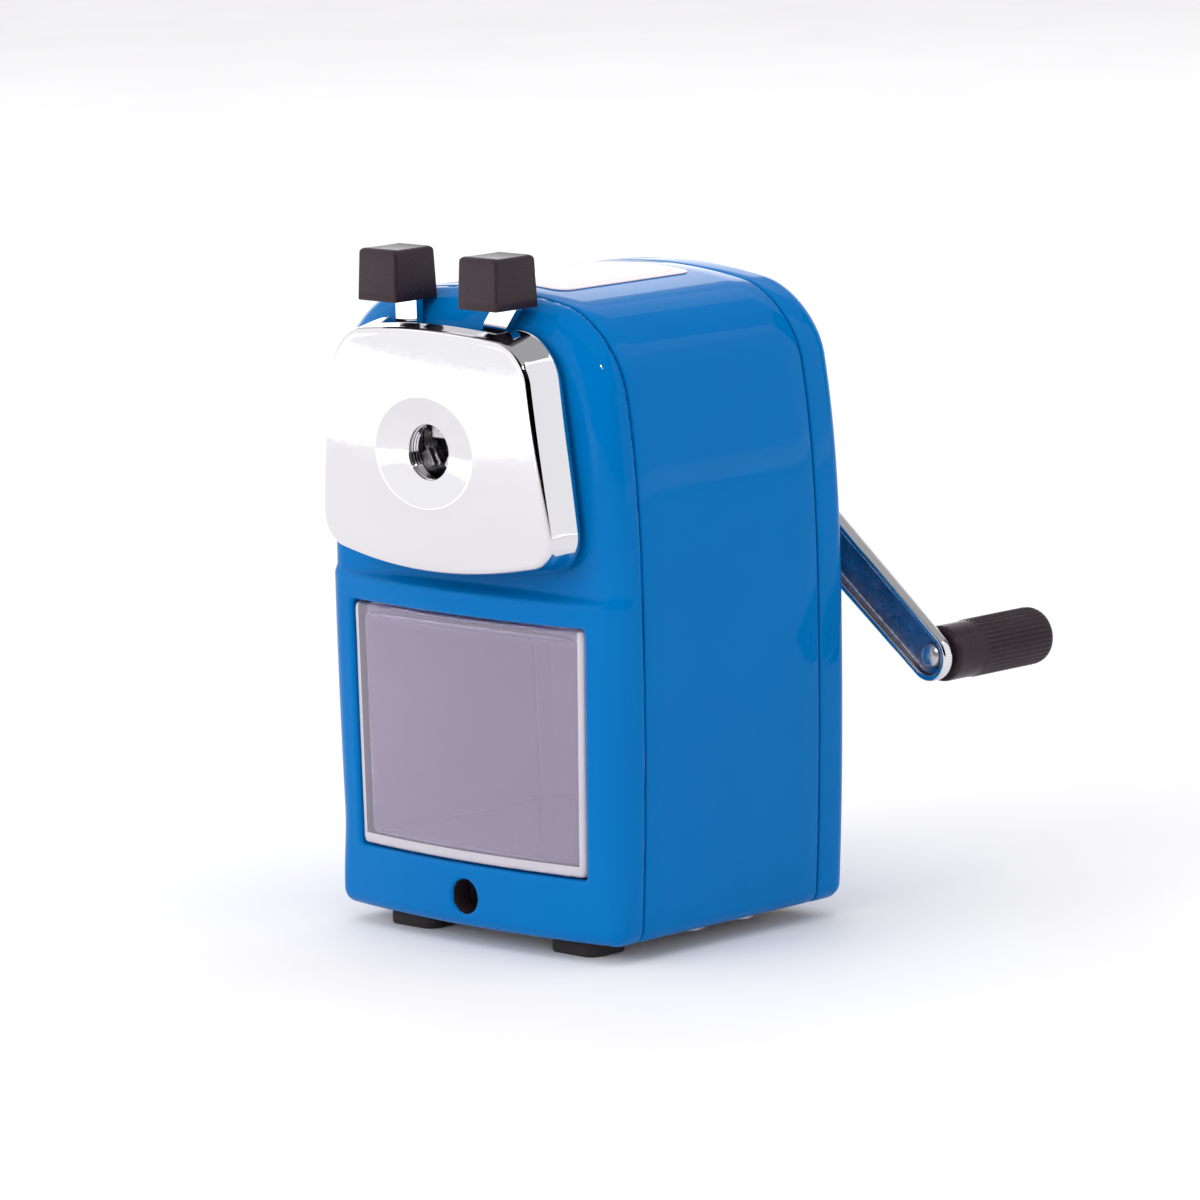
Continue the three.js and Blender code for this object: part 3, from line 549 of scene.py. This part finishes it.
def surface_nets(field, low, high, cell):
    """A quad mesh of the surface where a field of (x, y, z) is zero, with its points drawn onto it."""
    axes = [np.arange(low[i], high[i] + cell, cell) for i in range(3)]
    grid = np.meshgrid(*axes, indexing="ij")
    values = field(*grid)
    size = np.array(values.shape) - 1
    total, crossings = np.zeros((*size, 3)), np.zeros(size, int)
    corners = [(i, j, k) for i in (0, 1) for j in (0, 1) for k in (0, 1)]
    for start in corners:
        for axis in range(3):
            if start[axis]:
                continue
            end = list(start)
            end[axis] = 1
            a = values[tuple(slice(s, s + n) for s, n in zip(start, size))]
            b = values[tuple(slice(s, s + n) for s, n in zip(end, size))]
            hit = (a < 0) != (b < 0)
            share = np.where(hit, a / np.where(hit, a - b, 1.0), 0.0)
            for i in range(3):
                total[..., i] += hit * (start[i] + (share if i == axis else 0.0))
            crossings += hit
    used = crossings > 0
    index = np.full(size, -1)
    index[used] = np.arange(used.sum())
    base = np.stack(np.nonzero(used), axis=1)
    points = np.array(low) + cell * (base + total[used] / crossings[used][:, None])
    faces = []
    for axis in range(3):
        u, v = [i for i in range(3) if i != axis]
        inner = [slice(1, n) for n in size]
        inner[axis] = slice(0, size[axis])
        ahead = [slice(1, n) for n in size]
        ahead[axis] = slice(1, size[axis] + 1)
        a, b = values[tuple(inner)], values[tuple(ahead)]
        cells = np.stack(np.nonzero((a < 0) != (b < 0)), axis=1)
        cells[:, u] += 1
        cells[:, v] += 1
        quad = []
        for du, dv in ((0, 0), (1, 0), (1, 1), (0, 1)):
            place = cells.copy()
            place[:, u] -= du
            place[:, v] -= dv
            quad.append(index[tuple(place.T)])
        faces.append(np.stack(quad, axis=1))
    for _ in range(4):
        points = settle(field, points, cell)
    return points, np.concatenate(faces)


def settle(field, points, cell):
    """One Newton step of points towards the field's zero."""
    tick = 0.02
    value = field(*points.T)
    slope = []
    for i in range(3):
        ahead, behind = points.copy(), points.copy()
        ahead[:, i] += tick
        behind[:, i] -= tick
        slope.append((field(*ahead.T) - field(*behind.T)) / (2 * tick))
    slope = np.stack(slope, axis=1)
    step = -value[:, None] * slope / np.maximum((slope ** 2).sum(axis=1), 0.05)[:, None]
    length = np.linalg.norm(step, axis=1, keepdims=True)
    return points + step * np.minimum(1, 0.5 * cell / np.maximum(length, 1e-9))


def cut(field, hole, radius):
    """A region with a hole taken out, its rim rounded."""
    return round_max(field, -hole, radius)


def smooth_step(value, low, high):
    """From 0 at low to 1 at high, level at both."""
    share = np.clip((value - low) / (high - low), 0, 1)
    return share * share * (3 - 2 * share)


# ---------------------------------------------------------------- front frame

LEDGE_Z = 61.5


def front_y(x, z):
    """The front surface: a bowed lower part, a soft ledge, then the part set back under the face plate."""
    lower = 5.4 + 2.2 * (x / 28) ** 2
    upper = 8.5 + 0.5 * (x / 28) ** 2 - 0.7 * smooth_step(z, 66, 72)
    rise = smooth_step(z, LEDGE_Z - 1.1, LEDGE_Z + 0.5)
    return lower + (upper - lower) * rise


def window_field(x, z, inset=0.0, corner=0.8):
    half = WINDOW["half_low"] + (z - WINDOW["low"]) * (WINDOW["half_high"] - WINDOW["half_low"]) / 42.6
    side = np.abs(x) - half + inset
    return round_max(round_max(side, z - WINDOW["high"] + inset, corner), WINDOW["low"] + inset - z, corner)


def frame_skin(x, y, z, inset):
    """The frame's outer surface, its top corners cut back where the levers stand; inset gives its inside."""
    corner = 2.4 + 2.6 * smooth_step(z, 4, 20) + 2.2 * smooth_step(z, 88, 104)
    front = np.maximum(front_y(x, z), front_y(x, z + inset))
    skin = round_max(body_field(x, z) + inset, front + inset - y, corner - 0.5 * inset)
    slope = ((np.abs(x) + z - 141.8) / 1.414 + (FRONT_SEAM - y) * 1.7) / 1.97
    return round_max(skin, slope + inset, 3.0)


def front_frame():
    """Pressed front with openings for the window, the face plate and the clamp hole."""
    def field(x, y, z):
        solid = round_max(frame_skin(x, y, z, 0.0), y - FRONT_SEAM, 0.35)
        solid = np.maximum(solid, -np.maximum(frame_skin(x, y, z, 2.0), 10.0 - y))
        solid = cut(solid, window_field(x, z), 0.7)
        solid = cut(solid, plate_field(x, z - AXIS_Z, 3.0), 0.7)
        solid = cut(solid, np.hypot(x, z - 8.5) - 2.95, 0.6)
        under = np.maximum(np.maximum(np.abs(x) - BASE_HALF, 10 - y), z - 8.0)
        return np.maximum(solid, -under)

    points, faces = surface_nets(field, (-37.0, 4.0, 1.6), (37.0, 15.2, 113.0), 0.5)
    piece = new_object("housing_front_frame", points, faces, ENAMEL, "housing", "front_frame")
    refinish(piece, INSIDE, lambda x, y, z: (y > 9.8) & (frame_skin(x, y, z, 2.0) < 0.5))
    # Painted shade: the clamp hole's inner wall takes the black moulding, standing in for the dark inside of
    # the hole.
    refinish(piece, BLACK, lambda x, y, z: (np.hypot(x, z - 8.5) < 3.15) & (y > 5.9))


# ---------------------------------------------------------------- face plate on its carriage

def face_plate():
    """Pressed chrome plate: crowned front, a dish round the pencil hole, a wall that flares backward."""
    angles = even_angles(plate_field, (0.0, 0.0), 400, 10.0)
    direction = np.stack([np.cos(angles), np.sin(angles)], axis=1)
    edge, flare = PLATE["round"], PLATE["flare"]

    def outline(inset):
        return cast(lambda x, z: plate_field(x, z, inset), (0.0, 0.0), angles, 60.0)

    def crown(flat):
        return PLATE["front"] + flat[:, 0] ** 2 / 340 + flat[:, 1] ** 2 / 400

    hole = direction * (HOLE_RADIUS + 0.1)
    dish_rim = direction * (1 / np.hypot(direction[:, 0] / DISH_X, direction[:, 1] / DISH_Z))[:, None]
    rings = [at_y(hole, crown(hole) + DISH_DEPTH + 0.55), at_y(hole, crown(hole) + DISH_DEPTH + 0.12)]
    for share in np.concatenate([[0.015, 0.04], np.linspace(0.08, 0.94, 14), [0.97, 1.0]]):
        flat = hole + (dish_rim - hole) * share
        depth = DISH_DEPTH * (1 - share ** 1.12)
        rings.append(at_y(flat, crown(flat) + depth))
    rim = outline(flare + edge)
    for share in np.concatenate([[0.02, 0.05], np.linspace(0.1, 1, 22)]):
        flat = dish_rim + (rim - dish_rim) * share
        rings.append(at_y(flat, crown(flat)))
    front = crown(rim)
    for turn in np.linspace(0, np.pi / 2, 10)[1:]:
        flat = outline(flare + edge * (1 - math.sin(turn)))
        rings.append(at_y(flat, front + (1 - math.cos(turn)) * edge))
    outer = outline(0.0)
    slot = smooth_step(15.6 - np.abs(outer[:, 0]), 0, 1.2) * (outer[:, 1] > 0)
    back = PLATE["back"] + (3.3 - PLATE["back"]) * slot
    start = front + edge
    reach = (back - start) / (PLATE["back"] - start)
    flared, wall = outline(flare), PLATE["wall"]
    for share in np.linspace(0, 1, 8)[1:]:
        flat = flared + (outer - flared) * (share * reach)[:, None]
        rings.append(at_y(flat, start + (back - 0.3 - start) * share))
    end = flared + (outer - flared) * reach[:, None]
    inward = outline(wall) - outer
    rings.append(at_y(end + 0.08 * inward, back - 0.06))
    rings.append(at_y(end + 0.25 * inward, back))
    rings.append(at_y(end + 0.8 * inward, back))
    rings.append(at_y(end + inward, back - 0.25))
    inner = outline(wall + flare)
    deep = crown(inner) + 1.6
    for share in np.linspace(0, 1, 5)[1:]:
        flat = end + inward + (inner - end - inward) * share
        rings.append(at_y(flat, back - 0.25 + (deep - back + 0.25) * share))
    for share in np.linspace(0.12, 0.97, 9):
        flat = inner + (hole - inner) * share
        rings.append(at_y(flat, crown(flat) + 1.2 + (DISH_DEPTH - 0.5) * smooth_step(share, 0.6, 0.95)))
    rings.append(rings[0])
    points, faces = loft(rings, start_cap=False, end_cap=False)
    return new_object("face_plate_shell", points, faces, CHROME, "carriage", "face_plate", AXIS_Z)


def return_spring(name, turns=9, wire=0.4, sides=10, steps=30):
    """Coil on a guide rod, built at its resting length and riding with the carriage as the face plate is
    pulled out.
    """
    low, high = [(np.array(corner) - ORIGIN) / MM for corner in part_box(name)]
    middle, radius = (low + high) / 2, (high[0] - low[0]) / 2 - wire
    around = np.linspace(0, 2 * np.pi, sides, endpoint=False)
    rings = []
    for turn in np.linspace(0, turns * 2 * np.pi, turns * steps + 1):
        outward = np.array([math.cos(turn), 0, math.sin(turn)])
        height = low[1] + wire + (high[1] - low[1] - 2 * wire) * turn / (turns * 2 * np.pi)
        core = np.array([middle[0], height, middle[2]]) + radius * outward
        rings.append(core + wire * (np.cos(around)[:, None] * outward + np.sin(around)[:, None] * [0, 1, 0]))
    points, faces = loft(rings)
    piece = new_object(name + "_coil", points, faces, HARD_STEEL, "carriage", name)
    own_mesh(piece)


def pencil_sleeve():
    """Turned sleeve inside the pencil hole, with two grooves that catch the light."""
    bore, groove = HOLE_RADIUS, 4.75
    profile = [(5.7, 0.75), (bore + 0.15, 0.75), (bore, 0.85), (bore, 1.05), (groove, 1.15), (groove, 1.3)]
    profile += [(bore - 0.1, 1.4), (bore - 0.1, 1.6), (groove - 0.05, 1.7), (groove - 0.05, 1.85)]
    profile += [(bore - 0.15, 1.95), (bore - 0.15, 2.2), (7.0, 2.2), (7.0, 1.6), (5.7, 1.5), (5.7, 0.75)]
    points, faces = turned(profile, 72)
    return new_object("pencil_sleeve", points, faces, CHROME, "carriage", "nose_bush", AXIS_Z)


def box_rings(half_x, half_y, corner, z, segments=8):
    """One ring of a rounded rectangle in X and Y at a height."""
    ring = []
    for quarter, (sx, sy) in enumerate(((1, 1), (-1, 1), (-1, -1), (1, -1))):
        for t in np.linspace(0, np.pi / 2, segments):
            turn = quarter * np.pi / 2 + t
            ring.append((sx * (half_x - corner) + corner * math.cos(turn),
                         sy * (half_y - corner) + corner * math.sin(turn), z))
    return np.array(ring)


def lever_cap(name, x, body):
    """Moulded button: slightly tapered, crisp upright edges, a dished top with softened edges."""
    low, high, middle, upright = CAP_LOW, CAP_HIGH, np.array([x, CAP_Y, 0.0]), 0.5
    rings = []
    for inset, z in ((1.6, low + 1.2), (1.5, low + 0.25), (0.75, low), (0.2, low + 0.03), (0.03, low + 0.2)):
        rings.append(box_rings(4.64 - inset, 5.04 - inset, max(upright - inset, 0.2), z))
    for share in np.linspace(0, 1, 6)[1:]:
        z = low + 0.2 + (high - low - 1.3) * share
        rings.append(box_rings(4.62 - 0.17 * share, 5.02 - 0.37 * share, upright, z))
    for turn in np.linspace(0, np.pi / 2, 8)[1:]:
        inset = 1.1 * (1 - math.cos(turn))
        rings.append(box_rings(4.45 - inset, 4.65 - inset, upright, high - 1.1 + 1.1 * math.sin(turn)))
    half_x, half_y = 3.35, 3.55
    for share in (0.9, 0.75, 0.55, 0.3, 0.08):
        rings.append(box_rings(half_x * share, half_y * share, upright * share, high))
    rings = [ring + middle for ring in rings]
    for ring in rings:
        inner = np.maximum(1 - ((ring[:, 1] - CAP_Y) / 4.7) ** 2, 0)
        ring[:, 2] -= 0.55 * inner * smooth_step(ring[:, 2], high - 1.2, high - 0.1)
    points, faces = loft(rings)
    return new_object(name + "_knob", points, faces, BLACK, body, name)


def divided(ring, parts=6):
    """A closed ring with each of its sides split into equal parts."""
    sides = np.roll(ring, -1, axis=0) - ring
    shares = np.arange(parts) / parts
    return (ring[:, None] + sides[:, None] * shares[:, None]).reshape(-1, 3)


def top_label():
    """Thin film with rounded corners lying on the arched top."""
    half_x, half_y, centre_y, lift = 12.5, 16.0, 36.0, 0.2
    rings = []
    for inset, rise in ((0.05, 0.0), (0.0, 0.06), (0.04, lift - 0.04), (0.15, lift)):
        rings.append((box_rings(half_x - inset, half_y - inset, 2.6, 0, 10), rise))
    for share in (0.85, 0.65, 0.45, 0.25, 0.06):
        rings.append((box_rings(half_x * share, half_y * share, 2.6 * share, 0, 10), lift))
    placed = []
    for ring, rise in rings:
        ring = divided(ring + [0, centre_y, 0])
        ring[:, 2] = BODY_TOP - TOP_ARCH * ring[:, 0] ** 2 + 0.05 + rise
        placed.append(ring)
    points, faces = loft(placed)
    return new_object("label_skin", points, faces, LABEL, "housing", "top_label")


# ---------------------------------------------------------------- drawer

def drawer():
    """Clear tray with a bowed front, open on top behind it."""
    wall, back = 1.8, 55.5

    def field(x, y, z):
        outer = window_field(x, z, 0.45, 1.0)
        front = 5.85 + 2.15 * (x / 28) ** 2
        solid = round_max(round_max(outer, front - y, 0.5), y - back, 0.8)
        hollow = round_max(window_field(x, z, 0.45 + wall, 1.0), front + wall - y, 0.6)
        hollow = round_max(hollow, y - (back - wall), 0.8)
        mouth = np.maximum(np.abs(x) - 25.2, 9.9 - y)
        mouth = np.maximum(np.maximum(mouth, y - (back - wall)), 45 - z)
        solid = np.maximum(solid, -hollow)
        return cut(solid, mouth, 0.3)

    points, faces = surface_nets(field, (-28.4, 5.0, 13.4), (28.4, 56.4, 57.6), 0.6)
    return new_object("drawer_body", points, faces, CLEAR, "drawer", "drawer_tray")


# ---------------------------------------------------------------- crank

def crank_place(points):
    """From the arm's own axes (X along it, Z across) to the housing's."""
    c, s = math.cos(CRANK_ANGLE), math.sin(CRANK_ANGLE)
    points = np.asarray(points, float)
    return np.stack([points[:, 0] * c - points[:, 2] * s, points[:, 1],
                     points[:, 0] * s + points[:, 2] * c + AXIS_Z], axis=1)


def crank_arm():
    """Channel with round ends, open towards the housing."""
    def field(x, y, z):
        along = np.clip(x / CRANK_LENGTH, 0, 1)
        radius = HUB_RADIUS + (TIP_RADIUS - HUB_RADIUS) * along
        outline = np.hypot(x - along * CRANK_LENGTH, z) - radius
        rim = HUB_RIM + (TIP_RIM - HUB_RIM) * along
        solid = round_max(round_max(outline, y - CRANK_BACK, 1.3), rim - y, 0.45)
        solid = cut(solid, round_max(outline + 1.05, y - (CRANK_BACK - CRANK_WEB), 0.8), 0.3)
        solid = cut(solid, np.hypot(x, z) - 2.1, 0.2)
        return cut(solid, np.hypot(x - CRANK_LENGTH, z) - 1.8, 0.2)

    points, faces = surface_nets(field, (-5.6, 65.2, -5.6), (67.6, 72.8, 5.6), 0.3)
    piece = new_object("crank_channel", crank_place(points), faces, CHROME, "crank", "crank_arm")

    def inside(x, y, z):
        c, s = math.cos(CRANK_ANGLE), math.sin(CRANK_ANGLE)
        along, across = x * c + (z - AXIS_Z) * s, -x * s + (z - AXIS_Z) * c
        share = np.clip(along / CRANK_LENGTH, 0, 1)
        deep = (y < CRANK_BACK - 0.38) & (y > HUB_RIM + 0.4 + (TIP_RIM - HUB_RIM) * share)
        reach = HUB_RADIUS - 0.75 + (TIP_RADIUS - HUB_RADIUS) * share
        return deep & (np.hypot(along - share * CRANK_LENGTH, across) < reach)

    # Painted shade: the inside of the channel takes the darker, duller metal, standing in for the dark
    # reflections it shows, besides a duller finish.
    refinish(piece, CHANNEL_SHADE_ZINC, inside)


def crank_grip():
    """Ribbed handle with a plain collar by the arm and a domed far end."""
    front, back = GRIP_FRONT, GRIP_BACK
    ribs, steps = 36, 288
    angles = np.linspace(0, 2 * np.pi, steps, endpoint=False)
    groove = 0.5 - 0.5 * np.cos(angles * ribs)
    rows = [(1.95, 88.0, 0), (1.95, front + 0.2, 0), (2.2, front, 0), (4.2, front, 0)]
    rows += [(4.55, front + 0.1, 0), (4.75, front + 0.35, 0), (4.8, front + 0.8, 0), (4.8, 79.3, 0)]
    rows += [(4.84, 79.6, 0.0), (5.0, 79.9, 0.3), (5.0, 80.4, 1)]
    rows += [(5.0, y, 1) for y in np.linspace(84, 95.0, 4)]
    rows += [(4.98, 95.6, 0.9), (4.93, 95.9, 0.4), (4.85, 96.2, 0.0)]
    for turn in np.linspace(0.25, np.pi / 2, 7):
        rows.append((3.6 + 1.2 * math.cos(turn), 96.2 + 1.05 * math.sin(turn) * 0.9, 0))
    rows += [(2.0, back - 0.08, 0), (0.6, back, 0)]
    rings = []
    for radius, y, depth in rows:
        reach = radius - 0.32 * depth * groove
        x, z = CRANK_LENGTH + reach * np.cos(angles), reach * np.sin(angles)
        rings.append(np.stack([x, np.full(steps, y), z], axis=1))
    points, faces = loft(rings, start_cap=False)
    return new_object("grip_handle", crank_place(points), faces, BLACK, "grip", "crank_grip")


def grip_rivet():
    """Headed pin with a domed head in the arm's channel and a collar inside the grip."""
    profile = [(0, 69.3), (0.8, 69.38), (1.5, 69.6), (2.0, 69.95), (2.25, 70.35), (2.28, 70.55), (1.6, 70.6)]
    profile += [(1.6, 87.9), (2.6, 88), (2.6, 89.3), (0, 89.4)]
    points, faces = turned(profile, 40, (CRANK_LENGTH, 0.0))
    return new_object("grip_rivet", crank_place(points), faces, STEEL, "crank", "grip_pin")


def feet():
    """A rounded rubber pad in the place of each foot."""
    for node in ("foot_front_left", "foot_front_right", "foot_rear_left", "foot_rear_right"):
        low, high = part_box(node)
        middle = (np.array(low + high) / 2 - ORIGIN) / MM
        half = np.array(high - low) / 2 / MM
        rings = []
        for inset, z in ((0.45, 0.0), (0.12, 0.08), (0.0, 0.4), (0.0, 1.6), (0.1, 2.69)):
            ring = box_rings(half[0] - inset, half[1] - inset, 2.4 - inset, z)
            rings.append(ring + [middle[0], middle[1], 0])
        points, faces = loft(rings)
        new_object(node + "_pad", points, faces, RUBBER, "housing", node)


return_spring("return_spring_left")
return_spring("return_spring_right")
front_frame()
face_plate()
pencil_sleeve()
lever_cap("lever_cap_left", -CAP_X, "left_lever")
lever_cap("lever_cap_right", CAP_X, "right_lever")
top_label()
drawer()
crank_arm()
crank_grip()
grip_rivet()
feet()

# ---------------------------------------------------------------- floor, light and camera

def floor_sweep():
    """Pale floor curving up into a backdrop."""
    rows = [(-4.0, 0.0), (2.4, 0.0), (2.8, 0.08), (3.1, 0.3), (3.3, 0.7), (3.4, 1.3), (3.4, 4.0)]
    points = [(x, y, z) for y, z in rows for x in (-4.0, 4.0)]
    faces = [(2 * k, 2 * k + 1, 2 * k + 3, 2 * k + 2) for k in range(len(rows) - 1)]
    mesh = bpy.data.meshes.new("floor")
    heading = 0.78
    c, s = math.cos(heading), math.sin(heading)
    turn = np.array([[c, -s, 0], [s, c, 0], [0, 0, 1]])
    mesh.from_pydata((np.array(points) @ turn.T).tolist(), [], faces)
    mesh.shade_smooth()
    material, tree, surface = shader("studio_floor", (0.92, 0.91, 0.92), 0.7)
    color = tint(tree, noise(tree, 12, 2), (0.9, 0.895, 0.9), (0.93, 0.925, 0.93))
    tree.links.new(color, surface.inputs["Base Color"])
    mesh.materials.append(material)
    floor = bpy.data.objects.new("floor", mesh)
    bpy.context.scene.collection.objects.link(floor)


def area_light(name, place, aim, size, radiance, diffuse=True, glossy=True):
    """A softbox of a size and brightness, kept out of the camera's own view."""
    lamp = bpy.data.lights.new(name, "AREA")
    lamp.shape = "RECTANGLE"
    lamp.size, lamp.size_y = size
    lamp.energy = radiance * math.pi * size[0] * size[1]
    piece = bpy.data.objects.new(name, lamp)
    piece.location = place
    piece.rotation_euler = (Vector(aim) - Vector(place)).to_track_quat("-Z", "Y").to_euler()
    piece.visible_camera = False
    piece.visible_diffuse, piece.visible_glossy = diffuse, glossy
    bpy.context.scene.collection.objects.link(piece)


def camera():
    """Long lens, a little above the object and 44.5 degrees round to its right side."""
    azimuth, elevation, roll = math.radians(44.50), math.radians(9.27), math.radians(-1.45)
    level = math.cos(elevation)
    back = Vector((math.sin(azimuth) * level, -math.cos(azimuth) * level, math.sin(elevation)))
    right = Vector((math.cos(azimuth), math.sin(azimuth), 0))
    up = back.cross(right)
    c, s = math.cos(roll), math.sin(roll)
    right, up = c * right + s * up, -s * right + c * up
    target, distance, aside = Vector((0, 35, 59)), 1287.49, 3.60
    place = (target + back * distance + right * aside - up * aside) * MM + Vector(ORIGIN)
    lens = bpy.data.cameras.new("camera")
    lens.sensor_width = 36
    lens.lens = 226.26
    lens.clip_start, lens.clip_end = 0.05, 30
    view = bpy.data.objects.new("camera", lens)
    view.matrix_world = Matrix.Translation(place) @ Matrix((right, up, back)).transposed().to_4x4()
    bpy.context.scene.collection.objects.link(view)
    bpy.context.scene.camera = view


def world():
    """Even fill that glossy surfaces don't mirror: what they show comes from the softboxes and the floor."""
    surroundings = bpy.data.worlds.new("studio")
    bpy.context.scene.world = surroundings
    surroundings.use_nodes = True
    surroundings.node_tree.nodes["Background"].inputs["Color"].default_value = (1.0, 0.99, 1.0, 1)
    surroundings.node_tree.nodes["Background"].inputs["Strength"].default_value = 0.85
    surroundings.cycles_visibility.glossy = False


floor_sweep()
camera()
world()
area_light("overhead", (-0.35, 0.35, 1.5), (-0.35, 0.35, 0), (2.8, 2.8), 0.48)
area_light("front_fill", (-0.3, -1.6, 0.9), (0, 0, 0.06), (1.2, 0.8), 3.0, glossy=False)
area_light("front_left_card", (-0.46, -0.48, 0.42), (0, 0, 0.42), (1.2, 0.84), 1.22, diffuse=False)
area_light("right_back_card", (0.95, 0.55, 0.65), (0, 0, 0.4), (1.5, 1.3), 1.1, diffuse=False)
area_light("back_card", (-1.2, 1.2, 0.45), (0, 0, 0.1), (1.6, 0.6), 1.1, diffuse=False)
area_light("sparkle", (1.0, -1.0, 1.35), (0, 0, 0.06), (0.07, 0.07), 900, diffuse=False)
bpy.context.scene.view_settings.view_transform = "Standard"
